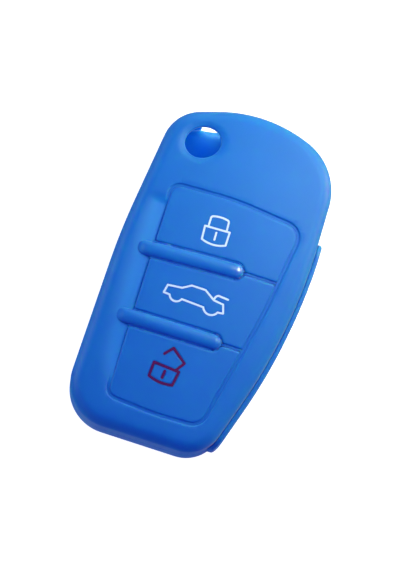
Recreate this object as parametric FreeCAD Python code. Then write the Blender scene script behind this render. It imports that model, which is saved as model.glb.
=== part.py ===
import FreeCAD, Part
import math
import os

# Soft moulded cover for a folding car key with three buttons on its front and a release button on
# its back. Millimetres: X across, Y towards the keyring end, Z out of the front, back face on Z = 0.

# Sleeve: the outline's corners are shares of its width and length, each rounded by its own radius.
LENGTH = 75.2
WIDTH = 43.0
THICKNESS = 18.5
WALL = 1.8
EDGE_RADIUS = 2.6
CROWN_ACROSS_RADIUS = 260.0
CROWN_ALONG_RADIUS = 900.0
PARTING_HEIGHT = THICKNESS / 2
OUTLINE_SHARES = [
    (0.030, 0.516),
    (-0.409, 0.438),
    (-0.490, 0.060),
    (-0.514, -0.490),
    (0.247, -0.494),
    (0.483, -0.063),
    (0.468, 0.427),
]
TOP_RADIUS = 31.0
RING_CORNER_RADIUS = 8.5
LEFT_SIDE_RADIUS = 150.0
LOW_LEFT_RADIUS = 9.8
LOW_RIGHT_RADIUS = 8.0
RIGHT_SIDE_RADIUS = 120.0
BLADE_CORNER_RADIUS = 13.0

# Keyring passage: a hole in the front with a rounded rim, and a notch in the back below the same edge.
RING_HOLE_FROM_LEFT = 11.7
RING_HOLE_FROM_END = 9.6
RING_HOLE_RADIUS = 3.65
RING_RIM_RADIUS = 0.8
RING_NOTCH_WIDTH = 7.3
RING_NOTCH_FROM_END = 4.3
RING_NOTCH_CORNER = 1.8
RING_HOLE_X = RING_HOLE_FROM_LEFT - WIDTH / 2
RING_HOLE_Y = LENGTH / 2 - RING_HOLE_FROM_END

# Blade slot: an opening along the right side, with a raised collar round it.
SLOT_FROM_KEYRING_END = 23.5
SLOT_FROM_LOW_END = 4.2
SLOT_HEIGHT = 8.4
SLOT_CORNER = 2.4
COLLAR_PROUD = 1.1
COLLAR_WIDTH = 1.1
COLLAR_EDGE_RADIUS = 0.8

# Button field: the line of the groove round the three buttons, in shares of the field's own size.
FIELD_FROM_LEFT = 8.05
FIELD_FROM_RIGHT = 5.05
FIELD_FROM_KEYRING_END = 19.7
FIELD_FROM_LOW_END = 6.2
FIELD_WIDTH = WIDTH - FIELD_FROM_LEFT - FIELD_FROM_RIGHT
FIELD_LENGTH = LENGTH - FIELD_FROM_KEYRING_END - FIELD_FROM_LOW_END
FIELD_X = (FIELD_FROM_LEFT - FIELD_FROM_RIGHT) / 2
FIELD_Y = (FIELD_FROM_LOW_END - FIELD_FROM_KEYRING_END) / 2
FIELD_SHARES = [
    (-0.034, 0.501),
    (-0.500, 0.492),
    (-0.500, -0.480),
    (-0.117, -0.500),
    (0.217, -0.492),
    (0.410, 0.066),
    (0.500, 0.467),
]
FIELD_END_RADIUS = 60.0
FIELD_LEFT_RADIUS = 2.3
FIELD_RIGHT_RADIUS = 3.4
FIELD_SIDE_RADIUS = 90.0
GROOVE = 0.6
SPLIT_GROOVE = 0.5
WEB_THICKNESS = 1.4
PAD_CLEARANCE = 0.15
PAD_DROP = 0.15
PAD_CORNER_RADIUS = 0.5
PAD_EDGE_RADIUS = 0.35

# Divider bars between the buttons: how far the middles of their round ends lie outside the field's left
# edge and inside its right edge, their places along the field in shares of its length, and their tilt.
BAR_RUN_IN = 1.45
BAR_FROM_RIGHT = 11.35
BAR_WIDTH = 3.1
BAR_GAP = 0.35
BAR_PROUD = 0.45
BAR_EDGE_RADIUS = 0.8
UPPER_BAR_SHARE = 0.2039
UPPER_BAR_TILT = 2.6
LOWER_BAR_SHARE = -0.1217
LOWER_BAR_TILT = 0.3

# Channel beside the buttons' left edge, scooped out of the front and out of the webs there.
CHANNEL_RADIUS = 120.0
CHANNEL_DEPTH = 1.0
CHANNEL_REACH = 17.9
CHANNEL_FROM_TOP = 3.4
CHANNEL_FROM_LOW = 13.5

# Release button in the back.
RELEASE_X = 4.5
RELEASE_FROM_END = 20.6
RELEASE_RADIUS = 7.0
RELEASE_DROP = 0.25

# Pictograms let into the buttons: straight lines and three-point arcs in shares of each one's size.
# Their middles lie at shares of the button field's size from its middle.
ICON_LINE = 0.42
BOLD_ICON_LINE = 0.55
ICON_DEPTH = 0.3
ICON_PROUD = 0.04
LOCK_WIDTH = 5.5
LOCK_HEIGHT = 6.3
LOCK_PLACE_SHARE = (-0.092, 0.3458)
LOCK_TILT = 1.5
LOCK_LINE_SHARES = [
    [(-0.48, -0.40), (-0.50, 0.07), (0.50, 0.07), (0.48, -0.40)],
    [(-0.37, 0.07), (-0.36, 0.38)],
    [(0.37, 0.07), (0.36, 0.38)],
]
LOCK_KEYHOLE_SHARES = [[(0.0, -0.06), (0.0, -0.31)]]
LOCK_ARC_SHARES = [
    [(-0.48, -0.40), (0.0, -0.49), (0.48, -0.40)],
    [(-0.36, 0.38), (-0.34, 0.43), (-0.28, 0.46)],
    [(-0.28, 0.46), (0.0, 0.49), (0.28, 0.46)],
    [(0.28, 0.46), (0.34, 0.43), (0.36, 0.38)],
]
BOOT_WIDTH = 13.5
BOOT_HEIGHT = 4.9
BOOT_PLACE_SHARE = (-0.097, 0.0345)
BOOT_TILT = -1.0
BOOT_LINE_SHARES = [
    [
        (0.41, -0.27),
        (0.50, -0.24),
        (0.455, 0.14),
        (0.295, 0.19),
        (0.12, 0.50),
        (-0.11, 0.50),
        (-0.245, 0.27),
        (-0.475, 0.20),
        (-0.50, -0.16),
        (-0.40, -0.18),
    ],
    [(-0.195, -0.21), (0.17, -0.25)],
    [(0.345, 0.44), (0.505, 0.41)],
]
BOOT_ARC_SHARES = [
    [(-0.40, -0.18), (-0.295, -0.39), (-0.195, -0.21)],
    [(0.17, -0.25), (0.29, -0.48), (0.41, -0.27)],
    [(0.295, 0.24), (0.31, 0.37), (0.345, 0.44)],
]
UNLOCK_WIDTH = 5.7
UNLOCK_HEIGHT = 7.9
UNLOCK_PLACE_SHARE = (-0.1421, -0.2799)
UNLOCK_TILT = -5.0
UNLOCK_LINE_SHARES = [
    [(-0.49, -0.44), (-0.50, -0.05), (0.50, -0.05), (0.46, -0.45)],
    [(0.36, -0.05), (0.57, 0.22), (-0.02, 0.50), (-0.26, 0.27)],
]
UNLOCK_KEYHOLE_SHARES = [[(0.0, -0.17), (0.0, -0.36)]]
UNLOCK_ARC_SHARES = [
    [(-0.49, -0.44), (0.0, -0.50), (0.46, -0.45)],
]

# How far cutters run past what they cut, how near two points count as one place, and how much of the
# room beside an edge its rounding may take.
OVERRUN = 3.0
TOUCH = 0.01
ROUNDING_SHARE = 0.95


def placed(shares, width, length, x, y):
    """Points given as shares of a width and a length, about a middle point."""
    return [FreeCAD.Vector(x + across * width, y + along * length, 0) for across, along in shares]


def rounding(radius, room):
    """Radius of a rounding, limited by the room beside it."""
    return min(radius, room * ROUNDING_SHARE)


def fitted_radii(runs, radii):
    """Corner radii, made smaller where two neighbours would meet on the run between them."""
    reaches = []
    for index, radius in enumerate(radii):
        turn = runs[index - 1].getAngle(runs[index])
        reaches.append(radius * math.tan(turn / 2))
    fits = []
    for index, run in enumerate(runs):
        both = reaches[index] + reaches[(index + 1) % len(reaches)]
        fits.append(rounding(both, run.Length) / both)
    return [radius * min(fits[index - 1], fits[index]) for index, radius in enumerate(radii)]


def rounded_loop(corners, radii, inset, height):
    """Closed loop through counter-clockwise corners, each rounded, the whole moved in by an inset."""
    runs = [corners[(index + 1) % len(corners)] - corner for index, corner in enumerate(corners)]
    inward = [FreeCAD.Vector(-run.y, run.x, 0).normalize() for run in runs]
    arcs = []
    for index, radius in enumerate(fitted_radii(runs, radii)):
        before = inward[index - 1]
        after = inward[index]
        centre = corners[index] + (before + after) * (radius / (1 + before.dot(after)))
        centre.z = height
        middle = (before + after).normalize()
        arcs.append([centre - normal * (radius - inset) for normal in (before, middle, after)])
    edges = []
    for index, arc in enumerate(arcs):
        following = arcs[(index + 1) % len(arcs)]
        edges.append(Part.Arc(*arc).toShape())
        edges.append(Part.LineSegment(arc[2], following[0]).toShape())
    return Part.Wire(edges)


def prism(loop, height):
    """Solid standing on a closed level loop."""
    return Part.Face(loop).extrude(FreeCAD.Vector(0, 0, height))


def block(x_low, x_high, y_low, y_high, z_low, z_high):
    """Box between two corners."""
    corner = FreeCAD.Vector(x_low, y_low, z_low)
    return Part.makeBox(x_high - x_low, y_high - y_low, z_high - z_low, corner)


def outline(inset, height):
    """Outline of the sleeve, moved in by an inset."""
    corners = placed(OUTLINE_SHARES, WIDTH, LENGTH, 0, 0)
    radii = [
        TOP_RADIUS,
        RING_CORNER_RADIUS,
        LEFT_SIDE_RADIUS,
        LOW_LEFT_RADIUS,
        LOW_RIGHT_RADIUS,
        RIGHT_SIDE_RADIUS,
        BLADE_CORNER_RADIUS,
    ]
    return rounded_loop(corners, radii, inset, height)


def under_crown(drop):
    """Everything below the crowned front, with that surface lowered by a drop."""
    radius = CROWN_ACROSS_RADIUS - drop
    middle_height = THICKNESS - CROWN_ACROSS_RADIUS
    side_height = middle_height + math.sqrt(radius**2 - WIDTH**2)
    low_left = FreeCAD.Vector(-WIDTH, 0, -LENGTH)
    low_right = FreeCAD.Vector(WIDTH, 0, -LENGTH)
    high_left = FreeCAD.Vector(-WIDTH, 0, side_height)
    high_right = FreeCAD.Vector(WIDTH, 0, side_height)
    top = FreeCAD.Vector(0, 0, middle_height + radius)
    edges = [
        Part.LineSegment(low_left, low_right).toShape(),
        Part.LineSegment(low_right, high_right).toShape(),
        Part.Arc(high_right, top, high_left).toShape(),
        Part.LineSegment(high_left, low_left).toShape(),
    ]
    section = Part.Face(Part.Wire(edges))
    axis_point = FreeCAD.Vector(0, 0, THICKNESS - CROWN_ALONG_RADIUS)
    across = FreeCAD.Vector(1, 0, 0)
    swing = math.degrees(math.atan(LENGTH / CROWN_ALONG_RADIUS))
    section.rotate(axis_point, across, -swing)
    return section.revolve(axis_point, across, swing + swing)


def crowned_layer(upper_drop, lower_drop):
    """Layer that follows the crowned front, between two drops below it."""
    return under_crown(upper_drop).cut(under_crown(lower_drop))


def sleeve_form(inset):
    """The sleeve's outer form moved in by an inset, with a crowned front and rounded edges."""
    form = prism(outline(inset, inset), THICKNESS).common(under_crown(inset))
    front = max(form.Faces, key=lambda face: face.CenterOfMass.z)
    back = min(form.Faces, key=lambda face: face.CenterOfMass.z)
    return form.makeFillet(EDGE_RADIUS - inset, front.Edges + back.Edges)


def with_ring_hole(form):
    """The outer form with the keyring hole sunk into its front, the hole's rim rounded."""
    foot = FreeCAD.Vector(RING_HOLE_X, RING_HOLE_Y, PARTING_HEIGHT)
    sunk = form.cut(Part.makeCylinder(RING_HOLE_RADIUS, THICKNESS, foot))
    rim = [edge for edge in sunk.Edges if on_ring_rim(edge, foot)]
    return sunk.makeFillet(rounding(RING_RIM_RADIUS, WALL), rim)


def on_ring_rim(edge, foot):
    """Whether an edge is part of the keyring hole's rim in the front."""
    spoke = edge.valueAt(edge.FirstParameter) - foot
    beside = math.hypot(spoke.x, spoke.y) < RING_HOLE_RADIUS + TOUCH
    return beside and spoke.z > TOUCH and not upright(edge)


def ring_notch_cutter():
    """Notch with rounded corners, from the back up to the parting line and out of the keyring end."""
    left = RING_HOLE_X - RING_NOTCH_WIDTH / 2
    right = RING_HOLE_X + RING_NOTCH_WIDTH / 2
    inner = LENGTH / 2 - RING_NOTCH_FROM_END
    notch = block(left, right, inner, LENGTH, -OVERRUN, PARTING_HEIGHT)
    corners = [edge for edge in notch.Edges if upright(edge) and edge.CenterOfMass.y < LENGTH]
    return notch.makeFillet(rounding(RING_NOTCH_CORNER, RING_NOTCH_WIDTH / 2), corners)


def upright(edge):
    """Whether an edge starts off along Z."""
    return abs(edge.tangentAt(edge.FirstParameter).z) > math.sqrt(0.5)


def slot_block(margin):
    """Block that reaches out of the right side, with rounded ends, wider than the slot by a margin."""
    low = SLOT_FROM_LOW_END - LENGTH / 2 - margin
    high = LENGTH / 2 - SLOT_FROM_KEYRING_END + margin
    half = SLOT_HEIGHT / 2 + margin
    plate = block(0, WIDTH, low, high, PARTING_HEIGHT - half, PARTING_HEIGHT + half)
    corners = [edge for edge in plate.Edges if abs(edge.tangentAt(edge.FirstParameter).x) > math.sqrt(0.5)]
    return plate.makeFillet(rounding(SLOT_CORNER, SLOT_HEIGHT / 2) + margin, corners)


def side_band(outer_inset, inner_inset):
    """Upright band that follows the outline, between two insets."""
    outside = prism(outline(outer_inset, 0), THICKNESS)
    inside = prism(outline(inner_inset, 0), THICKNESS)
    return outside.cut(inside)


def field(inset, height):
    """Loop of the button field, moved in by an inset."""
    corners = placed(FIELD_SHARES, FIELD_WIDTH, FIELD_LENGTH, FIELD_X, FIELD_Y)
    radii = [
        FIELD_END_RADIUS,
        FIELD_LEFT_RADIUS,
        FIELD_LEFT_RADIUS,
        FIELD_END_RADIUS,
        FIELD_RIGHT_RADIUS,
        FIELD_SIDE_RADIUS,
        FIELD_RIGHT_RADIUS,
    ]
    return rounded_loop(corners, radii, inset, height)


def channel_cutter():
    """Long round scoop along the left edge of the button field, run out softly at its lower end."""
    left = FIELD_X - FIELD_WIDTH / 2 - GROOVE / 2
    surface = THICKNESS - left**2 / (CROWN_ACROSS_RADIUS + CROWN_ACROSS_RADIUS)
    height = surface - CHANNEL_DEPTH + math.sqrt(CHANNEL_RADIUS**2 - CHANNEL_REACH**2)
    run = FIELD_LENGTH - CHANNEL_FROM_TOP - CHANNEL_FROM_LOW
    low_end = FreeCAD.Vector(left + CHANNEL_REACH, FIELD_Y - FIELD_LENGTH / 2 + CHANNEL_FROM_LOW, height)
    scoop = Part.makeCylinder(CHANNEL_RADIUS, run, low_end, FreeCAD.Vector(0, 1, 0))
    strip = block(-WIDTH, left + GROOVE, -LENGTH, LENGTH, 0, THICKNESS + OVERRUN)
    return scoop.fuse(Part.makeSphere(CHANNEL_RADIUS, low_end)).common(strip)


def bar_end(place_share):
    """Middle of a divider bar's right round end."""
    x = FIELD_X + FIELD_WIDTH / 2 - BAR_FROM_RIGHT
    return FreeCAD.Vector(x, FIELD_Y + FIELD_LENGTH * place_share, 0)


def bar_prism(place_share, tilt, margin):
    """Upright prism of a divider bar with round ends, wider than the bar by a margin."""
    end = bar_end(place_share)
    length = FIELD_WIDTH + BAR_RUN_IN - BAR_FROM_RIGHT
    bar = capsule(end - FreeCAD.Vector(length, 0, 0), end, BAR_WIDTH / 2 + margin)
    bar.rotate(end, FreeCAD.Vector(0, 0, 1), tilt)
    return bar


def capsule(start, end, half):
    """Upright prism round a straight run, with round ends."""
    along = (end - start).normalize() * half
    aside = FreeCAD.Vector(-along.y, along.x, 0)
    edges = [
        Part.LineSegment(start - aside, end - aside).toShape(),
        Part.Arc(end - aside, end + along, end + aside).toShape(),
        Part.LineSegment(end + aside, start + aside).toShape(),
        Part.Arc(start + aside, start - along, start - aside).toShape(),
    ]
    return prism(Part.Wire(edges), THICKNESS + OVERRUN)


def divider_bar(place_share, tilt, carriers):
    """Rounded bar that stands on the webs between two buttons and runs into the left slope."""
    bar = bar_prism(place_share, tilt, 0).common(crowned_layer(-BAR_PROUD, WALL - WEB_THICKNESS / 4))
    top = max(bar.Faces, key=lambda face: face.CenterOfMass.z)
    room = min(BAR_WIDTH / 2, WALL - WEB_THICKNESS + BAR_PROUD)
    bar = bar.makeFillet(rounding(BAR_EDGE_RADIUS, room), top.Edges)
    for carrier in carriers:
        bar = bar.cut(carrier)
    return bar


def pad_prisms(clearance):
    """The three buttons as upright prisms, from the keyring end down, grown by a clearance."""
    pads = prism(field(GROOVE / 2 - clearance, 0), THICKNESS)
    half_split = SPLIT_GROOVE / 2 - clearance
    for place_share, tilt in ((UPPER_BAR_SHARE, UPPER_BAR_TILT), (LOWER_BAR_SHARE, LOWER_BAR_TILT)):
        end = bar_end(place_share)
        split = block(end.x, WIDTH, end.y - half_split, end.y + half_split, 0, THICKNESS)
        pads = pads.cut(bar_prism(place_share, tilt, BAR_GAP - clearance)).cut(split)
    return sorted(pads.Solids, key=lambda solid: -solid.CenterOfMass.y)


def button_webs():
    """Thin webs round the three buttons, from the keyring end down, parted below the divider bars."""
    sheet = prism(field(-GROOVE / 2, 0), THICKNESS).common(crowned_layer(WALL - WEB_THICKNESS, WALL))
    sheet = sheet.cut(channel_cutter())
    for hole in pad_prisms(PAD_CLEARANCE):
        sheet = sheet.cut(hole)
    upper = bar_end(UPPER_BAR_SHARE).y
    lower = bar_end(LOWER_BAR_SHARE).y
    strips = ((upper, LENGTH), (lower, upper), (-LENGTH, lower))
    return [sheet.common(block(-WIDTH, WIDTH, low, high, 0, THICKNESS)) for low, high in strips]


def button_pad(upright_pad):
    """Button cut to the crowned front, a little below it, with softened corners and edges."""
    corners = [edge for edge in upright_pad.Edges if upright(edge) and sharp(upright_pad, edge)]
    pad = upright_pad.makeFillet(PAD_CORNER_RADIUS, corners).common(crowned_layer(PAD_DROP, WALL))
    top = max(pad.Faces, key=lambda face: face.CenterOfMass.z)
    return pad.makeFillet(PAD_EDGE_RADIUS, top.Edges)


def sharp(solid, edge):
    """Whether the two faces that meet at an edge meet at an angle."""
    faces = solid.ancestorsOfType(edge, Part.Face)
    point = edge.CenterOfMass
    normals = [face.normalAt(*face.Surface.parameter(point)) for face in faces]
    return abs(normals[0].dot(normals[1])) < math.sqrt(0.5)


def bent_capsule(start, middle, end, half):
    """Upright prism round a three-point arc, with round ends."""
    arc = Part.Arc(start, middle, end).toShape()
    outward = [(point - arc.Curve.Center).normalize() * half for point in (start, middle, end)]
    start_tip = start - arc.tangentAt(arc.FirstParameter) * half
    end_tip = end + arc.tangentAt(arc.LastParameter) * half
    edges = [
        Part.Arc(start + outward[0], middle + outward[1], end + outward[2]).toShape(),
        Part.Arc(end + outward[2], end_tip, end - outward[2]).toShape(),
        Part.Arc(end - outward[2], middle - outward[1], start - outward[0]).toShape(),
        Part.Arc(start - outward[0], start_tip, start + outward[0]).toShape(),
    ]
    return prism(Part.Wire(edges), THICKNESS + OVERRUN)


def pictogram(lines, arcs, width, height, place_share, tilt, line):
    """Pictogram let into a button's face, following the crown."""
    x = FIELD_X + place_share[0] * FIELD_WIDTH
    y = FIELD_Y + place_share[1] * FIELD_LENGTH
    runs = []
    for shares in lines:
        points = placed(shares, width, height, x, y)
        runs += [capsule(start, end, line / 2) for start, end in zip(points, points[1:])]
    for shares in arcs:
        runs.append(bent_capsule(*placed(shares, width, height, x, y), line / 2))
    shape = runs[0].multiFuse(runs[1:]).removeSplitter() if runs[1:] else runs[0]
    shape.rotate(FreeCAD.Vector(x, y, 0), FreeCAD.Vector(0, 0, 1), tilt)
    return shape.common(crowned_layer(PAD_DROP - ICON_PROUD, PAD_DROP + ICON_DEPTH))


def release_disc(margin, low, high):
    """Round disc at the release button's place."""
    foot = FreeCAD.Vector(RELEASE_X, LENGTH / 2 - RELEASE_FROM_END, low)
    return Part.makeCylinder(RELEASE_RADIUS + margin, high - low, foot)


def release_pad():
    """Round button in the back, set a little inside the back face, with a softened rim."""
    pad = release_disc(0, RELEASE_DROP, WALL)
    back = min(pad.Faces, key=lambda face: face.CenterOfMass.z)
    return pad.makeFillet(PAD_EDGE_RADIUS, back.Edges)


def slot_collar(form):
    """Raised ring round the blade slot, seated on the sleeve's side."""
    ring = slot_block(COLLAR_WIDTH).common(side_band(-COLLAR_PROUD, WALL))
    rim = [edge for edge in ring.Edges if on_outer_rim(edge)]
    ring = ring.makeFillet(rounding(COLLAR_EDGE_RADIUS, COLLAR_PROUD), rim)
    return ring.cut(slot_block(0)).cut(form)


def on_outer_rim(edge):
    """Whether an edge lies on the collar's outer face, all along it."""
    middle = (edge.FirstParameter + edge.LastParameter) / 2
    points = [edge.valueAt(place) for place in (edge.FirstParameter, middle, edge.LastParameter)]
    gaps = [outline(-COLLAR_PROUD, point.z).distToShape(Part.Vertex(point))[0] for point in points]
    return max(gaps) < TOUCH


def build():
    """Every piece of the cover, by name."""
    form = sleeve_form(0)
    shell = with_ring_hole(form).cut(sleeve_form(WALL)).cut(slot_block(0))
    front = block(-WIDTH, WIDTH, -LENGTH, LENGTH, PARTING_HEIGHT, THICKNESS + OVERRUN)
    window = prism(field(-GROOVE / 2, PARTING_HEIGHT), THICKNESS)
    front_shell = shell.common(front).cut(window).cut(channel_cutter())
    release_window = release_disc(GROOVE, -OVERRUN, WALL + OVERRUN)
    back_shell = shell.cut(front).cut(ring_notch_cutter()).cut(release_window)
    release_ring = release_disc(GROOVE, WALL - WEB_THICKNESS, WALL)
    release_web = release_ring.cut(release_disc(PAD_CLEARANCE, 0, THICKNESS))
    lock_web, boot_web, unlock_web = button_webs()
    bar_carriers = [front_shell, lock_web, boot_web, unlock_web]
    lock_pad, boot_pad, unlock_pad = [button_pad(pad) for pad in pad_prisms(0)]
    lock_place = (LOCK_WIDTH, LOCK_HEIGHT, LOCK_PLACE_SHARE, LOCK_TILT, ICON_LINE)
    boot_place = (BOOT_WIDTH, BOOT_HEIGHT, BOOT_PLACE_SHARE, BOOT_TILT, ICON_LINE)
    unlock_place = (UNLOCK_WIDTH, UNLOCK_HEIGHT, UNLOCK_PLACE_SHARE, UNLOCK_TILT, BOLD_ICON_LINE)
    lock_icon = pictogram(LOCK_LINE_SHARES, LOCK_ARC_SHARES, *lock_place)
    lock_keyhole = pictogram(LOCK_KEYHOLE_SHARES, [], *lock_place)
    boot_icon = pictogram(BOOT_LINE_SHARES, BOOT_ARC_SHARES, *boot_place)
    unlock_icon = pictogram(UNLOCK_LINE_SHARES, UNLOCK_ARC_SHARES, *unlock_place)
    unlock_keyhole = pictogram(UNLOCK_KEYHOLE_SHARES, [], *unlock_place)
    return {
        "front_shell": front_shell,
        "back_shell": back_shell,
        "slot_collar": slot_collar(form),
        "upper_divider_bar": divider_bar(UPPER_BAR_SHARE, UPPER_BAR_TILT, bar_carriers),
        "lower_divider_bar": divider_bar(LOWER_BAR_SHARE, LOWER_BAR_TILT, bar_carriers),
        "lock_web": lock_web,
        "lock_pad": lock_pad.cut(lock_icon).cut(lock_keyhole),
        "lock_icon": lock_icon,
        "lock_keyhole": lock_keyhole,
        "boot_web": boot_web,
        "boot_pad": boot_pad.cut(boot_icon),
        "boot_icon": boot_icon,
        "unlock_web": unlock_web,
        "unlock_pad": unlock_pad.cut(unlock_icon).cut(unlock_keyhole),
        "unlock_icon": unlock_icon,
        "unlock_keyhole": unlock_keyhole,
        "release_web": release_web,
        "release_pad": release_pad(),
    }


os.makedirs("parts", exist_ok=True)
for name, shape in build().items():
    shape.exportStep(f"parts/{name}.step")
    box = shape.optimalBoundingBox()
    print(
        f"{name}: solids {len(shape.Solids)}, valid {shape.isValid()}, volume {shape.Volume:.2f},"
        f" x {box.XMin:.2f} {box.XMax:.2f}, y {box.YMin:.2f} {box.YMax:.2f}, z {box.ZMin:.2f} {box.ZMax:.2f}"
    )
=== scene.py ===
import math

import bmesh
import bpy
from mathutils import Matrix, Vector


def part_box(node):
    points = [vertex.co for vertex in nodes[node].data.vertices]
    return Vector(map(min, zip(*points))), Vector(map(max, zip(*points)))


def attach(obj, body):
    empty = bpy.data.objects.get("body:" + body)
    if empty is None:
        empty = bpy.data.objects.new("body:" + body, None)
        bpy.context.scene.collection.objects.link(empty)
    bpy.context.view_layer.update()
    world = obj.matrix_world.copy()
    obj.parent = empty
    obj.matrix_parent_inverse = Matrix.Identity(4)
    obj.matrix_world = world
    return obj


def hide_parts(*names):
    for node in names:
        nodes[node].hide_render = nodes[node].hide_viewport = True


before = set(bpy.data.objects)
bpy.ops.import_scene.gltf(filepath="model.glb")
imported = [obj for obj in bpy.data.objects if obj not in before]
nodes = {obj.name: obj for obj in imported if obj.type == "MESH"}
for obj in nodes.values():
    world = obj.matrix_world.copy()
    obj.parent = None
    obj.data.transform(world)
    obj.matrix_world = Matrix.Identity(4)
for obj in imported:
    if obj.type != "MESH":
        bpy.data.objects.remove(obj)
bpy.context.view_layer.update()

bpy.ops.object.select_all(action="DESELECT")


# Front shell: the front wall and the upper half of the side wall, in soft blue silicone 1.8 mm thick.
# It is moulded in one with the back, which it meets at the mould's parting line.
# It has the window for the push pads, a sloped channel along their left edge and a dished keyring hole.
THICKNESS = 0.0185
WALL = 0.0018
PARTING = 0.00925
EDGE_RADIUS = 0.0026
ACROSS_RADIUS = 0.260
ALONG_RADIUS = 0.900
SLEEVE_WIDTH = 0.0430
SLEEVE_LENGTH = 0.0752
SLEEVE_CORNER_SHARES = [
    (0.030, 0.516), (-0.409, 0.438), (-0.490, 0.060), (-0.514, -0.490),
    (0.247, -0.494), (0.483, -0.063), (0.468, 0.427),
]
SLEEVE_RADII = [0.031, 0.0085, 0.150, 0.0098, 0.008, 0.120, 0.013]
SLEEVE_STEP = 0.0008
ROUNDING_INSET = 0.0024
ROUNDING_INSETS = [ROUNDING_INSET, 0.0020, 0.0016, 0.0012, 0.00085, 0.00055, 0.0003, 0.00012, 0.00003, 0.0]
INNER_ROUNDING_STEPS = [0.0, 0.0002, 0.0003, 0.0003]
WINDOW_WIDTH = 0.0299
WINDOW_LENGTH = 0.0493
WINDOW_MIDDLE = Vector((0.0015, -0.00675))
WINDOW_CORNER_SHARES = [
    (-0.034, 0.501), (-0.500, 0.492), (-0.500, -0.480), (-0.117, -0.500),
    (0.217, -0.492), (0.410, 0.066), (0.500, 0.467),
]
WINDOW_RADII = [0.060, 0.0023, 0.0023, 0.060, 0.0034, 0.090, 0.0034]
WINDOW_STEP = 0.0007
HALF_GROOVE = 0.0003
GROOVE_DEPTH = 0.0004
LIP_OUTSIDE = 0.00025
LIP_RUN = 0.00035
LIP_STEPS = 8
LEDGE_STEPS = 3
PAD_LAP = 0.00015
HOLE_MIDDLE = Vector((-0.0098, 0.0280))
HOLE_LONG = 0.00396
HOLE_SHORT = 0.00345
HOLE_TURN = math.radians(28)
HOLE_MARKS = 64
HOLE_LIP = 0.00035
HOLE_LIP_TURNS = [math.radians(turn) for turn in (0, 22, 44, 66, 90)]
DISH_WIDTH = 0.0017
DISH_DEPTH = 0.00055
CHANNEL_FOOT = -0.01375
CHANNEL_RADIUS = 0.120
CHANNEL_REACH = 0.0179
CHANNEL_DEPTH = 0.0010
CHANNEL_EASE = 0.0003
CHANNEL_TOP = (0.0150, 0.0125)
CHANNEL_LOW = -0.0179
GRID_STEP = 0.0012
FINE_GRID_STEP = 0.0006
NEAR_LINE = 0.0002
NEAR_HOLE_SHARE = 1.2
FRONT_GRID = [
    (0, -0.021, 0.020, GRID_STEP), (0, -0.0180, -0.0142, FINE_GRID_STEP),
    (1, -0.037, 0.037, GRID_STEP), (1, 0.0204, 0.0352, FINE_GRID_STEP),
]


def rounded_corners(corners, radii):
    """Middle, radius and first and last outward direction of each rounded corner of a closed line."""
    bends = []
    for index, radius in enumerate(radii):
        corner = Vector(corners[index])
        before = (corner - Vector(corners[index - 1])).normalized()
        after = (Vector(corners[(index + 1) % len(corners)]) - corner).normalized()
        first = Vector((before.y, -before.x))
        last = Vector((after.y, -after.x))
        middle = corner - (first + last) * (radius / (1 + first.dot(last)))
        bends.append((middle, radius, first, last))
    return bends


def line_spots(bends, inset, step):
    """Spots along a line with rounded corners, moved in by an inset."""
    spots = []
    for index, (middle, radius, first, last) in enumerate(bends):
        turn = math.atan2(first.cross(last), first.dot(last))
        marks = max(2, math.ceil(radius * turn / step))
        for mark in range(marks + 1):
            spots.append(middle + (Matrix.Rotation(turn * mark / marks, 2) @ first) * (radius - inset))
        ahead = bends[(index + 1) % len(bends)]
        leave = spots[-1]
        reach = ahead[0] + ahead[2] * (ahead[1] - inset)
        marks = math.ceil((reach - leave).length / step)
        spots += [leave.lerp(reach, mark / marks) for mark in range(1, marks)]
    return spots


def edge_from(bends, spot):
    """How far a spot lies inside a line, and the direction straight out from there."""
    choices = []
    for index, (middle, radius, first, last) in enumerate(bends):
        arm = spot - middle
        ahead = bends[(index + 1) % len(bends)][0]
        along = Vector((-last.y, last.x))
        if first.cross(arm) >= -1e-9 and arm.cross(last) >= -1e-9:
            choices.append((radius - arm.length, arm.normalized()))
        if arm.dot(along) >= -1e-9 and (spot - ahead).dot(along) <= 1e-9:
            choices.append((radius - arm.dot(last), last))
    return min(choices, key=lambda choice: choice[0])


def eased(share):
    """A share from 0 to 1 that starts and ends softly."""
    share = min(max(share, 0.0), 1.0)
    return share * share * (3 - 2 * share)


def crown(spot):
    """Height of the crowned front, without its edge, channel and dish."""
    return THICKNESS - spot.x ** 2 / (2 * ACROSS_RADIUS) - spot.y ** 2 / (2 * ALONG_RADIUS)


def hole_share(spot):
    """Distance from the middle of the keyring hole, 1 on its edge."""
    arm = Matrix.Rotation(-HOLE_TURN, 2) @ (spot - HOLE_MIDDLE)
    return math.hypot(arm.x / HOLE_LONG, arm.y / HOLE_SHORT)


def channel_drop(spot):
    """How deep the channel is below the crowned front at a spot."""
    foot = THICKNESS - CHANNEL_FOOT ** 2 / (2 * ACROSS_RADIUS) - CHANNEL_DEPTH
    across = spot.x - CHANNEL_FOOT - CHANNEL_REACH
    along = max(CHANNEL_LOW - spot.y, 0.0)
    foot_height = math.sqrt(CHANNEL_RADIUS ** 2 - CHANNEL_REACH ** 2)
    rise = foot_height - math.sqrt(CHANNEL_RADIUS ** 2 - across ** 2 - along ** 2)
    drop = crown(spot) - foot - rise
    share = min(max(0.5 + drop / (2 * CHANNEL_EASE), 0.0), 1.0)
    fade = eased((CHANNEL_TOP[0] - spot.y) / (CHANNEL_TOP[0] - CHANNEL_TOP[1]))
    return (drop * share + CHANNEL_EASE * share * (1 - share)) * fade


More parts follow.
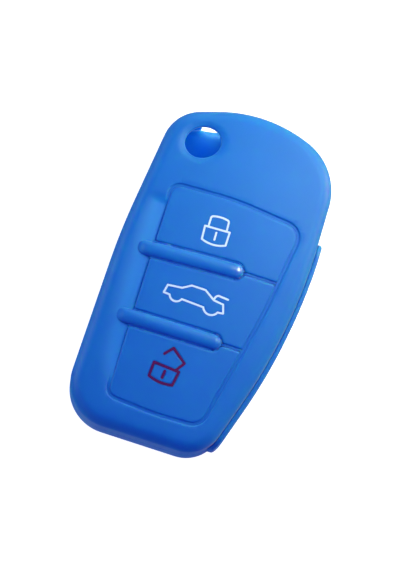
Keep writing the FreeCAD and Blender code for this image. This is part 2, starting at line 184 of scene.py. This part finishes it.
def skin(spot, wall=0.0):
    """Height of the front at a spot, or of the wall's inner face."""
    inset = edge_from(sleeve_line, spot)[0] - wall
    radius = EDGE_RADIUS - wall
    short = max(radius - max(inset, 0.0), 0.0)
    height = crown(spot) - wall - radius + math.sqrt(radius ** 2 - short ** 2)
    if wall:
        return height
    if spot.x < CHANNEL_FOOT + 3 * HALF_GROOVE:
        height -= channel_drop(spot)
    ring = (hole_share(spot) - 1) * (HOLE_LONG + HOLE_SHORT) / 2
    return height - DISH_DEPTH * max(1 - ring / DISH_WIDTH, 0.0) ** 2


def lay_loop(spots):
    """Adds a closed loop of edges and moves its points to the spots."""
    if bpy.context.mode == "EDIT_MESH":
        bpy.ops.mesh.select_all(action="DESELECT")
    bpy.ops.mesh.primitive_circle_add(vertices=len(spots), radius=SLEEVE_WIDTH / 4)
    bpy.ops.object.mode_set(mode="EDIT")
    sheet = bmesh.from_edit_mesh(bpy.context.object.data)
    for point, spot in zip([point for point in sheet.verts if point.select], spots):
        point.co = (spot.x, spot.y, 0.0)
    bmesh.update_edit_mesh(bpy.context.object.data)


def slice_sheet(axis, low, high, step):
    """Cuts the whole sheet by evenly spaced planes across one axis."""
    normal = Vector((0, 0, 0))
    normal[axis] = 1
    for mark in range(math.ceil((high - low) / step)):
        bpy.ops.mesh.select_all(action="SELECT")
        bpy.ops.mesh.bisect(plane_co=normal * (low + step * mark), plane_no=normal)


def take_open_edges(near):
    """Selects the open edges whose middle is near something."""
    bpy.ops.mesh.select_mode(type="EDGE")
    bpy.ops.mesh.select_all(action="DESELECT")
    sheet = bmesh.from_edit_mesh(bpy.context.object.data)
    for edge in sheet.edges:
        if edge.is_boundary and near(((edge.verts[0].co + edge.verts[1].co) / 2).xy):
            edge.select_set(True)
    bmesh.update_edit_mesh(bpy.context.object.data)


def draw_on(out, outward, rise):
    """Extrudes the selected loop and moves it outward and to a new height."""
    bpy.ops.mesh.extrude_region_move()
    sheet = bmesh.from_edit_mesh(bpy.context.object.data)
    for point in sheet.verts:
        if point.select:
            spot = point.co.xy + outward(point.co.xy) * out
            point.co = (spot.x, spot.y, rise(spot, point.co.z))
    bmesh.update_edit_mesh(bpy.context.object.data)


def from_sleeve(spot):
    return edge_from(sleeve_line, spot)[1]


def from_window(spot):
    return edge_from(window_line, spot)[1]


def from_hole(spot):
    return (spot - HOLE_MIDDLE).normalized()


def lip_share(spot):
    """The window's lip runs out where the channel is as deep as the groove."""
    if spot.x < CHANNEL_FOOT + 3 * HALF_GROOVE:
        return 1 - eased(channel_drop(spot) / GROOVE_DEPTH)
    return 1.0


sleeve_line = rounded_corners(
    [(x * SLEEVE_WIDTH, y * SLEEVE_LENGTH) for x, y in SLEEVE_CORNER_SHARES], SLEEVE_RADII
)
window_line = rounded_corners(
    [
        (x * WINDOW_WIDTH + WINDOW_MIDDLE.x, y * WINDOW_LENGTH + WINDOW_MIDDLE.y)
        for x, y in WINDOW_CORNER_SHARES
    ],
    WINDOW_RADII,
)
hole_spots = []
for mark in range(HOLE_MARKS):
    turn = math.tau * mark / HOLE_MARKS
    arm = Vector(((HOLE_LONG + HOLE_LIP) * math.cos(turn), (HOLE_SHORT + HOLE_LIP) * math.sin(turn)))
    hole_spots.append(HOLE_MIDDLE + Matrix.Rotation(HOLE_TURN, 2) @ arm)
lay_loop(line_spots(sleeve_line, ROUNDING_INSET, SLEEVE_STEP))
front = bpy.context.object
front.name = "front_skin"
lay_loop(line_spots(window_line, -HALF_GROOVE - LIP_OUTSIDE, WINDOW_STEP))
lay_loop(hole_spots)
bpy.ops.mesh.select_all(action="SELECT")
bpy.ops.mesh.fill()
for axis, low, high, step in FRONT_GRID:
    slice_sheet(axis, low, high, step)
sheet = bmesh.from_edit_mesh(front.data)
for point in sheet.verts:
    point.co.z = skin(point.co.xy)
bmesh.update_edit_mesh(front.data)

take_open_edges(lambda spot: edge_from(sleeve_line, spot)[0] < ROUNDING_INSET + NEAR_LINE)
for start, end in zip(ROUNDING_INSETS, ROUNDING_INSETS[1:]):
    draw_on(start - end, from_sleeve, lambda spot, height: skin(spot))
draw_on(0.0, from_sleeve, lambda spot, height: PARTING)
draw_on(-WALL, from_sleeve, lambda spot, height: PARTING)
for inward in INNER_ROUNDING_STEPS:
    draw_on(-inward, from_sleeve, lambda spot, height: skin(spot, WALL))

take_open_edges(lambda spot: abs(edge_from(window_line, spot)[0] + HALF_GROOVE + LIP_OUTSIDE) < NEAR_LINE)
for mark in range(1, LIP_STEPS + 1):
    sink = GROOVE_DEPTH * eased(mark / LIP_STEPS)
    draw_on(-LIP_RUN / LIP_STEPS, from_window, lambda spot, height: skin(spot) - sink * lip_share(spot))
ledge = LIP_OUTSIDE + 2 * HALF_GROOVE + PAD_LAP - LIP_RUN
for mark in range(LEDGE_STEPS):
    draw_on(
        -ledge / LEDGE_STEPS, from_window, lambda spot, height: skin(spot) - GROOVE_DEPTH * lip_share(spot)
    )
draw_on(0.0, from_window, lambda spot, height: crown(spot) - WALL)

take_open_edges(lambda spot: hole_share(spot) < NEAR_HOLE_SHARE)
for start, end in zip(HOLE_LIP_TURNS, HOLE_LIP_TURNS[1:]):
    inward = HOLE_LIP * (math.sin(end) - math.sin(start))
    drop = HOLE_LIP * (math.cos(start) - math.cos(end))
    draw_on(-inward, from_hole, lambda spot, height: height - drop)
draw_on(0.0, from_hole, lambda spot, height: crown(spot) - WALL)
take_open_edges(lambda spot: True)
bpy.ops.mesh.fill()
bpy.ops.mesh.select_all(action="SELECT")
bpy.ops.mesh.normals_make_consistent(inside=False)
bpy.ops.object.mode_set(mode="OBJECT")

SLOT_LOW = -0.0334
SLOT_HIGH = 0.0141
SLOT_HEIGHT = 0.0084
SLOT_CORNER = 0.0024
SLOT_MIDDLE_X = 0.025
SLOT_DEPTH = 0.040
bpy.ops.object.select_all(action="DESELECT")
bpy.ops.mesh.primitive_cube_add(size=1.0, location=(SLOT_MIDDLE_X, (SLOT_LOW + SLOT_HIGH) / 2, PARTING))
slot_former = bpy.context.object
slot_former.scale = (SLOT_DEPTH, SLOT_HIGH - SLOT_LOW, SLOT_HEIGHT)
bpy.ops.object.transform_apply(location=True, rotation=False, scale=True)
bpy.ops.object.mode_set(mode="EDIT")
bpy.ops.mesh.select_mode(type="EDGE")
bpy.ops.mesh.select_all(action="DESELECT")
sheet = bmesh.from_edit_mesh(slot_former.data)
for edge in sheet.edges:
    edge.select_set(abs(edge.verts[0].co.x - edge.verts[1].co.x) > SLOT_DEPTH / 4)
bmesh.update_edit_mesh(slot_former.data)
bpy.ops.mesh.bevel(offset=SLOT_CORNER, segments=6)
bpy.ops.object.mode_set(mode="OBJECT")
bpy.ops.object.select_all(action="DESELECT")
front.select_set(True)
bpy.context.view_layer.objects.active = front
cut = front.modifiers.new("blade_slot", "BOOLEAN")
cut.operation = "DIFFERENCE"
cut.solver = "EXACT"
cut.object = slot_former
bpy.ops.object.modifier_apply(modifier=cut.name)
bpy.data.objects.remove(slot_former)
bpy.ops.object.shade_smooth_by_angle(angle=math.radians(40))

# The slope of the channel is painted paler towards its foot. This is painted light: it stands in for the
# light that falls on the slope and shows through its thinner wall.
SLOPE_LIGHT_GAIN = 1.6
slope_light_shares = front.data.attributes.new("painted_slope_light", "FLOAT", "POINT").data
for point, share in zip(front.data.vertices, slope_light_shares):
    by_channel = point.co.x < CHANNEL_FOOT + 2 * HALF_GROOVE
    if by_channel and point.co.z > crown(point.co.xy) - WALL:
        share.value = eased(SLOPE_LIGHT_GAIN * channel_drop(point.co.xy) / CHANNEL_DEPTH)

BLUE_DEEP = (0.005, 0.195, 0.585)
BLUE_LIGHT = (0.006, 0.210, 0.62)
# The paler blue that is painted on the channel slope as painted light.
BLUE_SLOPE_LIGHT = (0.010, 0.285, 0.70)


def silicone(name, deep, light, slope_light_tone):
    """Matt moulded silicone: a cloudy colour, a fine grain and light that soaks in, painted paler where a
    vertex share asks for it, as a painted highlight for the light on the channel slope.
    """
    finish = bpy.data.materials.new(name)
    finish.use_nodes = True
    tree = finish.node_tree
    shader = tree.nodes["Principled BSDF"]
    place = tree.nodes.new("ShaderNodeTexCoord")
    cloud = tree.nodes.new("ShaderNodeTexNoise")
    cloud.inputs["Scale"].default_value = 90.0
    cloud.inputs["Detail"].default_value = 4.0
    tint = tree.nodes.new("ShaderNodeValToRGB")
    tint.color_ramp.elements[0].position = 0.3
    tint.color_ramp.elements[0].color = (*deep, 1)
    tint.color_ramp.elements[1].position = 0.7
    tint.color_ramp.elements[1].color = (*light, 1)
    tree.links.new(place.outputs["Object"], cloud.inputs["Vector"])
    tree.links.new(cloud.outputs["Fac"], tint.inputs["Fac"])
    painted_slope_light = tree.nodes.new("ShaderNodeAttribute")
    painted_slope_light.attribute_name = "painted_slope_light"
    slope_light_mix = tree.nodes.new("ShaderNodeMix")
    slope_light_mix.data_type = "RGBA"
    slope_light_mix.inputs[7].default_value = (*slope_light_tone, 1)
    tree.links.new(painted_slope_light.outputs["Fac"], slope_light_mix.inputs[0])
    tree.links.new(tint.outputs["Color"], slope_light_mix.inputs[6])
    tree.links.new(slope_light_mix.outputs[2], shader.inputs["Base Color"])
    polish = tree.nodes.new("ShaderNodeAttribute")
    polish.attribute_name = "polish"
    tree.links.new(polish.outputs["Fac"], shader.inputs["Coat Weight"])
    shader.inputs["Coat Roughness"].default_value = 0.30
    shader.inputs["Coat IOR"].default_value = 2.2
    grain = tree.nodes.new("ShaderNodeTexNoise")
    grain.inputs["Scale"].default_value = 2600.0
    grain.inputs["Detail"].default_value = 2.0
    tree.links.new(place.outputs["Object"], grain.inputs["Vector"])
    skin_bump = tree.nodes.new("ShaderNodeBump")
    skin_bump.inputs["Strength"].default_value = 0.12
    skin_bump.inputs["Distance"].default_value = 0.00004
    tree.links.new(grain.outputs["Fac"], skin_bump.inputs["Height"])
    tree.links.new(skin_bump.outputs["Normal"], shader.inputs["Normal"])
    matt = tree.nodes.new("ShaderNodeMapRange")
    matt.inputs["To Min"].default_value = 0.44
    matt.inputs["To Max"].default_value = 0.56
    tree.links.new(grain.outputs["Fac"], matt.inputs["Value"])
    tree.links.new(matt.outputs["Result"], shader.inputs["Roughness"])
    shader.inputs["Subsurface Weight"].default_value = 0.8
    shader.inputs["Subsurface Radius"].default_value = (0.6, 1.2, 0.35)
    shader.inputs["Subsurface Scale"].default_value = 0.001
    shader.inputs["IOR"].default_value = 1.41
    shader.inputs["Sheen Weight"].default_value = 0.22
    shader.inputs["Sheen Roughness"].default_value = 0.35
    shader.inputs["Sheen Tint"].default_value = (1.0, 0.92, 0.85, 1)
    shader.inputs["Specular IOR Level"].default_value = 0.42
    return finish


blue_silicone = silicone("blue_silicone", BLUE_DEEP, BLUE_LIGHT, BLUE_SLOPE_LIGHT)
front.data.materials.append(blue_silicone)
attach(front, "sleeve")
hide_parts("front_shell")


# Back shell: the flat back wall and the lower half of the side wall, in the same silicone as the front.
# It is moulded in one with the front, which it meets at the parting line.
# It has the keyring notch at its end and the round window of the release pad.
MERGE_GAP = 0.000002
BACK_GRID = 0.00036
BACK_PASSES = 4
NOTCH_EDGE = Vector((-0.0098, 0.0333, 0.0018))
NOTCH_EDGE_REACH = Vector((0.0042, 0.0016, 0.0012))
NOTCH_EDGE_PASSES = 30
NOTCH_LEAN = 0.18
LEAN_REACH = Vector((0.0050, 0.0020, 0.0024))
LEAN_FADE = 0.0015


def merged_copy(node, name):
    """A copy of a moulded piece with its faces joined, made the active object."""
    piece = bpy.data.objects.new(name, nodes[node].data.copy())
    bpy.context.scene.collection.objects.link(piece)
    bpy.ops.object.select_all(action="DESELECT")
    piece.select_set(True)
    bpy.context.view_layer.objects.active = piece
    bpy.ops.object.mode_set(mode="EDIT")
    bpy.ops.mesh.select_all(action="SELECT")
    bpy.ops.mesh.remove_doubles(threshold=MERGE_GAP)
    bpy.ops.object.mode_set(mode="OBJECT")
    piece.data.materials.clear()
    return piece


def ease_part(piece, name, passes, inside):
    """Softens the part of a piece that lies inside some place."""
    part = piece.vertex_groups.new(name=name)
    part.add([point.index for point in piece.data.vertices if inside(point.co)], 1.0, "REPLACE")
    ease = piece.modifiers.new(name, "SMOOTH")
    ease.factor = 0.5
    ease.iterations = passes
    ease.vertex_group = part.name
    bpy.ops.object.modifier_apply(modifier=ease.name)


def softened(node, name, grid, passes):
    """A copy of a moulded piece with its edges softened all over."""
    piece = merged_copy(node, name)
    mesh_grid = piece.modifiers.new("grid", "REMESH")
    mesh_grid.mode = "VOXEL"
    mesh_grid.voxel_size = grid
    mesh_grid.use_smooth_shade = True
    bpy.ops.object.modifier_apply(modifier=mesh_grid.name)
    ease = piece.modifiers.new("ease", "SMOOTH")
    ease.factor = 0.5
    ease.iterations = passes
    bpy.ops.object.modifier_apply(modifier=ease.name)
    return piece


def by_notch(place):
    """Whether a place is at the inner edge of the keyring notch."""
    return all(abs(place[axis] - NOTCH_EDGE[axis]) < NOTCH_EDGE_REACH[axis] for axis in range(3))


back = softened("back_shell", "back_skin", BACK_GRID, BACK_PASSES)
for point in back.data.vertices:
    gap = point.co - NOTCH_EDGE
    if abs(gap.z) < LEAN_REACH.z:
        near = eased((LEAN_REACH.x - abs(gap.x)) / LEAN_FADE) * eased(1 - abs(gap.y) / LEAN_REACH.y)
        point.co.y += NOTCH_LEAN * gap.x * near
ease_part(back, "notch_edge", NOTCH_EDGE_PASSES, by_notch)
back.data.materials.append(blue_silicone)
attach(back, "sleeve")
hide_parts("back_shell")


# Slot collar: a raised bead round the blade slot, in the same silicone.
# It is moulded in one with the side wall and keeps the edge of the soft slot from tearing.
COLLAR_GRID = 0.0002
COLLAR_PASSES = 10
collar = softened("slot_collar", "slot_bead", COLLAR_GRID, COLLAR_PASSES)
collar.data.materials.append(blue_silicone)
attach(collar, "sleeve")
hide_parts("slot_collar")


# Webs: the thin silicone at the bottom of the grooves round the pads, moulded in one with the shells.
# They carry the pads and stretch when a pad is pressed.
# The webs' blue is a little deeper and more saturated than the shells': painted shade at the bottom of the
# grooves.
WEB_SHADE_DEEP = (0.005, 0.185, 0.60)
WEB_SHADE_LIGHT = (0.006, 0.200, 0.64)
WEB_REACH = 0.00017
WEB_SINK = 0.0001
WEB_SINK_EDGE = CHANNEL_FOOT + 2.2 * HALF_GROOVE
WEB_CLOSE = 0.00005
WEB_UPRIGHT = 0.1
UPPER_BAR_Y = 0.0033
LOWER_BAR_Y = -0.01275
thin_silicone = silicone("thin_silicone", WEB_SHADE_DEEP, WEB_SHADE_LIGHT, BLUE_SLOPE_LIGHT)
nodes["release_web"].data.materials.clear()
nodes["release_web"].data.materials.append(thin_silicone)


def faces_pad(face):
    """Whether a face of a web is part of the hole that a pad moves in."""
    spot = face.calc_center_median().xy
    at_joint = min(abs(spot.y - UPPER_BAR_Y), abs(spot.y - LOWER_BAR_Y)) < WEB_CLOSE
    upright = abs(face.normal.z) < WEB_UPRIGHT
    return upright and not at_joint and edge_from(window_line, spot)[0] > WEB_CLOSE


for name in ("lock_web", "boot_web", "unlock_web"):
    web = merged_copy(name, name.replace("web", "groove"))
    bpy.ops.object.mode_set(mode="EDIT")
    form = bmesh.from_edit_mesh(web.data)
    form.normal_update()
    for point in form.verts:
        walls = [face.normal for face in point.link_faces if faces_pad(face)]
        if point.co.x < WEB_SINK_EDGE:
            point.co.z -= WEB_SINK
        if walls:
            toward = sum(walls, Vector((0, 0, 0)))
            toward.z = 0.0
            point.co += toward.normalized() * WEB_REACH
    bmesh.update_edit_mesh(web.data)
    bpy.ops.object.mode_set(mode="OBJECT")
    bpy.ops.object.shade_smooth_by_angle(angle=math.radians(30))
    web.data.materials.append(thin_silicone)
    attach(web, "sleeve")
    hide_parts(name)


# Divider bars: two half-round ribs between the push pads, in the same silicone.
# They are moulded in one with the webs, and their left ends run down into the slope of the channel.
# The mould leaves the right end of the upper bar a little glossy.
BAR_HALF_WIDTH = 0.00155
BAR_PROUD = 0.0006
BAR_RUN = 0.0202
BAR_RUN_CUTS = 12
BAR_END_X = 0.0053
BAR_EBB = 0.9
BAR_RUN_IN = 0.0010
WEB_DEPTH = 0.0004
POLISH_FADE = 0.0006
POLISH_HEIGHT = 0.00025
POLISH_RISE = 0.0002


def divider_bar(node, name, end_y, tilt, end_polish):
    """A half-round bar, laid on the crowned front from its right end and sunk into the channel."""
    bpy.ops.object.select_all(action="DESELECT")
    bpy.ops.mesh.primitive_uv_sphere_add(segments=32, ring_count=24, radius=BAR_HALF_WIDTH)
    bar = bpy.context.object
    bar.name = name
    bpy.ops.object.mode_set(mode="EDIT")
    bpy.ops.mesh.select_mode(type="FACE")
    bpy.ops.mesh.select_all(action="DESELECT")
    form = bmesh.from_edit_mesh(bar.data)
    for face in form.faces:
        face.select_set(face.calc_center_median().x < 0)
    bmesh.update_edit_mesh(bar.data)
    bpy.ops.mesh.extrude_region_move(TRANSFORM_OT_translate={"value": (-BAR_RUN, 0, 0)})
    for mark in range(1, BAR_RUN_CUTS):
        bpy.ops.mesh.select_all(action="SELECT")
        bpy.ops.mesh.bisect(plane_co=(-BAR_RUN * mark / BAR_RUN_CUTS, 0, 0), plane_no=(1, 0, 0))
    bpy.ops.mesh.select_all(action="SELECT")
    bpy.ops.mesh.bisect(plane_co=(0, 0, 0), plane_no=(0, 0, 1), clear_inner=True, use_fill=True)
    bpy.ops.mesh.select_all(action="SELECT")
    bpy.ops.mesh.normals_make_consistent(inside=False)
    form = bmesh.from_edit_mesh(bar.data)
    turned = Matrix.Rotation(math.radians(tilt), 2)
    for point in form.verts:
        spot = turned @ point.co.xy + Vector((BAR_END_X, end_y))
        run_in = eased((CHANNEL_FOOT + BAR_RUN_IN - spot.x) / BAR_RUN_IN)
        sunk = WEB_DEPTH + (max(channel_drop(spot), WEB_DEPTH) - WEB_DEPTH) * run_in
        ebb = 1 - BAR_EBB * eased((CHANNEL_FOOT - spot.x) / (2 * BAR_HALF_WIDTH))
        rise = point.co.z / BAR_HALF_WIDTH * (BAR_PROUD + sunk) * ebb
        point.co = (spot.x, spot.y, crown(spot) - sunk + rise)
    bmesh.update_edit_mesh(bar.data)
    bpy.ops.object.mode_set(mode="OBJECT")
    bpy.ops.object.shade_smooth_by_angle(angle=math.radians(50))
    polish_shares = bar.data.attributes.new("polish", "FLOAT", "POINT").data
    for point, share in zip(bar.data.vertices, polish_shares):
        at_end = eased((point.co.x - BAR_END_X) / POLISH_FADE + 0.5)
        height = point.co.z - crown(point.co.xy)
        share.value = end_polish * at_end * eased((height - POLISH_HEIGHT) / POLISH_RISE)
    bar.data.materials.append(blue_silicone)
    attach(bar, "sleeve")
    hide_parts(node)


divider_bar("upper_divider_bar", "upper_rib", UPPER_BAR_Y, tilt=2.6, end_polish=1.0)
divider_bar("lower_divider_bar", "lower_rib", LOWER_BAR_Y, tilt=0.3, end_polish=0.1)


# Push pads: three crowned pads of silicone over the key's buttons, each carried in its groove by a web.
# The lines of its pictogram are sunk into its face when it is moulded.
PAD_GRID = 0.00016
PAD_PASSES = 4
PAD_RIM_PASSES = 10
PICTOGRAM_MARGIN = 0.0004
for name in ("lock", "boot", "unlock"):
    pad = softened(name + "_pad", name + "_cushion", PAD_GRID, PAD_PASSES)
    low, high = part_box(name + "_icon")

    def off_pictogram(place):
        """Whether a place of the pad is clear of its pictogram."""
        return not all(
            low[axis] - PICTOGRAM_MARGIN < place[axis] < high[axis] + PICTOGRAM_MARGIN for axis in (0, 1)
        )

    ease_part(pad, "rim", PAD_RIM_PASSES, off_pictogram)
    pad.data.materials.append(blue_silicone)
    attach(pad, name + "_button")
    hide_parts(name + "_pad")


# Pictograms: a closed padlock, a car with its boot open and an open padlock, in silicone ink.
# The ink, white or dark red, is wiped into the sunk lines of the pads and cured level with them.
WHITE = (0.71, 0.92, 1.0)
WHITE_WORN = (0.62, 0.87, 1.0)
DARK_RED = (0.12, 0.001, 0.075)
DARK_RED_WORN = (0.08, 0.002, 0.095)


def ink(name, base, worn):
    """Matt ink with a finely worn colour."""
    finish = bpy.data.materials.new(name)
    finish.use_nodes = True
    tree = finish.node_tree
    shader = tree.nodes["Principled BSDF"]
    place = tree.nodes.new("ShaderNodeTexCoord")
    wear = tree.nodes.new("ShaderNodeTexNoise")
    wear.inputs["Scale"].default_value = 900.0
    tint = tree.nodes.new("ShaderNodeValToRGB")
    tint.color_ramp.elements[0].position = 0.3
    tint.color_ramp.elements[0].color = (*worn, 1)
    tint.color_ramp.elements[1].position = 0.6
    tint.color_ramp.elements[1].color = (*base, 1)
    tree.links.new(place.outputs["Object"], wear.inputs["Vector"])
    tree.links.new(wear.outputs["Fac"], tint.inputs["Fac"])
    tree.links.new(tint.outputs["Color"], shader.inputs["Base Color"])
    shader.inputs["Roughness"].default_value = 0.6
    shader.inputs["Specular IOR Level"].default_value = 0.25
    return finish


white_ink = ink("white_ink", WHITE, WHITE_WORN)
red_ink = ink("dark_red_ink", DARK_RED, DARK_RED_WORN)
for name, finish in (
    ("lock_icon", white_ink), ("lock_keyhole", white_ink), ("boot_icon", white_ink),
    ("unlock_icon", red_ink), ("unlock_keyhole", red_ink),
):
    nodes[name].data.materials.clear()
    nodes[name].data.materials.append(finish)


# Release pad: a round pad of silicone in the back, over the button that lets the key's blade out.
# It is carried by a thin web, as the push pads are.
release = softened("release_pad", "release_cushion", PAD_GRID, PAD_PASSES)
release.data.materials.append(blue_silicone)
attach(release, "release_button")
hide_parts("release_pad")


# Floor: a plain white table under the cover, which shows from above alone.
# A second sheet just below it stays out of sight and throws soft light back at the cover's lower edges.
SHEET_SIZE = 3.0
FLOOR_Z = -0.0001
BOUNCE_Z = -0.0006


def glowing_sheet(name, finish_name, height, base, light):
    """A wide flat sheet that gives off an even light."""
    bpy.ops.mesh.primitive_plane_add(size=SHEET_SIZE, location=(0, 0, height))
    sheet = bpy.context.active_object
    sheet.name = name
    finish = bpy.data.materials.new(finish_name)
    finish.use_nodes = True
    shader = finish.node_tree.nodes["Principled BSDF"]
    shader.inputs["Base Color"].default_value = (*base, 1)
    shader.inputs["Roughness"].default_value = 0.9
    shader.inputs["Emission Color"].default_value = (*light, 1)
    shader.inputs["Emission Strength"].default_value = 1.0
    sheet.data.materials.append(finish)
    sheet.visible_glossy = False
    sheet.visible_shadow = False
    return sheet


floor = glowing_sheet("floor", "pale_floor", FLOOR_Z, (0.5, 0.5, 0.5), (1, 1, 1))
tree = floor.active_material.node_tree
side = tree.nodes.new("ShaderNodeNewGeometry")
clear = tree.nodes.new("ShaderNodeBsdfTransparent")
one_sided = tree.nodes.new("ShaderNodeMixShader")
tree.links.new(side.outputs["Backfacing"], one_sided.inputs[0])
tree.links.new(tree.nodes["Principled BSDF"].outputs["BSDF"], one_sided.inputs[1])
tree.links.new(clear.outputs["BSDF"], one_sided.inputs[2])
tree.links.new(one_sided.outputs["Shader"], tree.nodes["Material Output"].inputs["Surface"])
floor.visible_diffuse = False
table = glowing_sheet("table", "warm_table", BOUNCE_Z, (0.05, 0.05, 0.05), (0.40, 0.50, 0.40))
table.visible_camera = False


# Light: a small soft box near the top right, weaker boxes round the sides and below, and a blue sky.
# Three faint lamps inside the pocket give the glow in the keyring hole and in the blade slot.
SKY_COLOUR = (0.06, 0.105, 1)
SKY_STRENGTH = 0.53
COVER_MIDDLE = (0, 0, 0.015)
GLOW_COLOUR = (0.02, 0.55, 1.0)
world = bpy.data.worlds.new("studio")
bpy.context.scene.world = world
world.use_nodes = True
tree = world.node_tree
sky = tree.nodes["Background"]
sky.inputs["Color"].default_value = (*SKY_COLOUR, 1)
sky.inputs["Strength"].default_value = SKY_STRENGTH
backdrop = tree.nodes.new("ShaderNodeBackground")
backdrop.inputs["Color"].default_value = (1, 1, 1, 1)
ray = tree.nodes.new("ShaderNodeLightPath")
sight = tree.nodes.new("ShaderNodeMixShader")
tree.links.new(ray.outputs["Is Camera Ray"], sight.inputs[0])
tree.links.new(sky.outputs["Background"], sight.inputs[1])
tree.links.new(backdrop.outputs["Background"], sight.inputs[2])
tree.links.new(sight.outputs["Shader"], tree.nodes["World Output"].inputs["Surface"])


def soft_box(name, place, aim, size, power, colour):
    """A round soft box at a place, turned to what it lights."""
    bpy.ops.object.light_add(type="AREA", location=place)
    lamp = bpy.context.active_object
    lamp.name = name
    lamp.data.shape = "DISK"
    lamp.data.size = size
    lamp.data.energy = power
    lamp.data.color = colour
    lamp.visible_camera = False
    lamp.rotation_euler = (Vector(aim) - Vector(place)).to_track_quat("-Z", "Y").to_euler()


def pocket_lamp(name, place, size, power):
    """A faint blue lamp inside the pocket, which lights its walls without a glint."""
    bpy.ops.object.light_add(type="POINT", location=place)
    lamp = bpy.context.active_object
    lamp.name = name
    lamp.data.shadow_soft_size = size
    lamp.data.energy = power
    lamp.data.color = GLOW_COLOUR
    lamp.visible_camera = False
    lamp.visible_glossy = False


soft_box("key_box", (0.0470, 0.0630, 0.1150), (0, 0.015, 0.018), 0.07, 0.130, (0.95, 1.0, 0.77))
soft_box("left_box", (-0.3381, 0.0, 0.1091), COVER_MIDDLE, 0.25, 0.42, (1.0, 1.0, 0.67))
soft_box("low_box", (-0.1690, -0.2928, 0.1091), COVER_MIDDLE, 0.25, 0.06, (1.0, 0.9, 0.8))
soft_box("right_box", (0.1785, 0.0832, 0.0532), COVER_MIDDLE, 0.10, 0.15, (1.0, 0.7, 0.3))
soft_box("rim_box", (0.2043, 0.1430, 0.0359), COVER_MIDDLE, 0.10, 0.42, (1.0, 0.38, 0.08))
soft_box("top_box", (0.0674, 0.1851, 0.0532), COVER_MIDDLE, 0.10, 0.11, (1.0, 0.85, 0.25))
soft_box("corner_box", (-0.0900, 0.2000, 0.0900), COVER_MIDDLE, 0.12, 0.10, (1.0, 1.0, 0.7))
soft_box("under_box", (0.0, 0.14, -0.38), (0, 0, 0), 0.25, 0.9, (0.6, 0.7, 1.0))
pocket_lamp("pocket_glow", (-0.0098, 0.0295, 0.0095), 0.0015, 0.0015)
pocket_lamp("slot_glow", (0.0, -0.0080, 0.0095), 0.0045, 0.0020)
bpy.ops.object.light_add(
    type="AREA", location=(-0.0100, 0.0330, 0.0033), rotation=(0, 0, math.atan(NOTCH_LEAN))
)
notch_glow = bpy.context.active_object
notch_glow.name = "notch_glow"
notch_glow.data.shape = "RECTANGLE"
notch_glow.data.size = 0.0080
notch_glow.data.size_y = 0.0006
notch_glow.data.energy = 0.00021
notch_glow.data.color = (0.75, 0.65, 0.34)
notch_glow.visible_camera = False


# Camera: a metre off, almost straight above the front, rolled so that the cover leans to the right.
# The long side of its frame is 570 pixels, and a pixel is 0.215 mm on the cover's outline.
TILT = math.radians(8.0)
ROLL = math.radians(17.5)
DISTANCE = 1.0
TARGET = Vector((-0.0012255, -0.0019657, 0.0185))
OUTLINE_DEPTH = 0.005
FRAME_PIXELS = 570
PIXEL = 0.000215
SENSOR = 36.0
up_flat = Vector((0, math.cos(TILT), math.sin(TILT)))
across = Vector((1, 0, 0))
right = across * math.cos(ROLL) + up_flat * math.sin(ROLL)
up = up_flat * math.cos(ROLL) - across * math.sin(ROLL)
toward = right.cross(up)
bpy.ops.object.camera_add()
camera = bpy.context.active_object
camera.data.lens = SENSOR * (DISTANCE + OUTLINE_DEPTH) / (FRAME_PIXELS * PIXEL)
camera.data.sensor_width = SENSOR
camera.data.clip_start = 0.01
camera.data.clip_end = 10.0
stand = Matrix((right, up, toward)).transposed().to_4x4()
stand.translation = TARGET + toward * DISTANCE
camera.matrix_world = stand
bpy.context.scene.camera = camera
bpy.context.scene.view_settings.view_transform = "Standard"
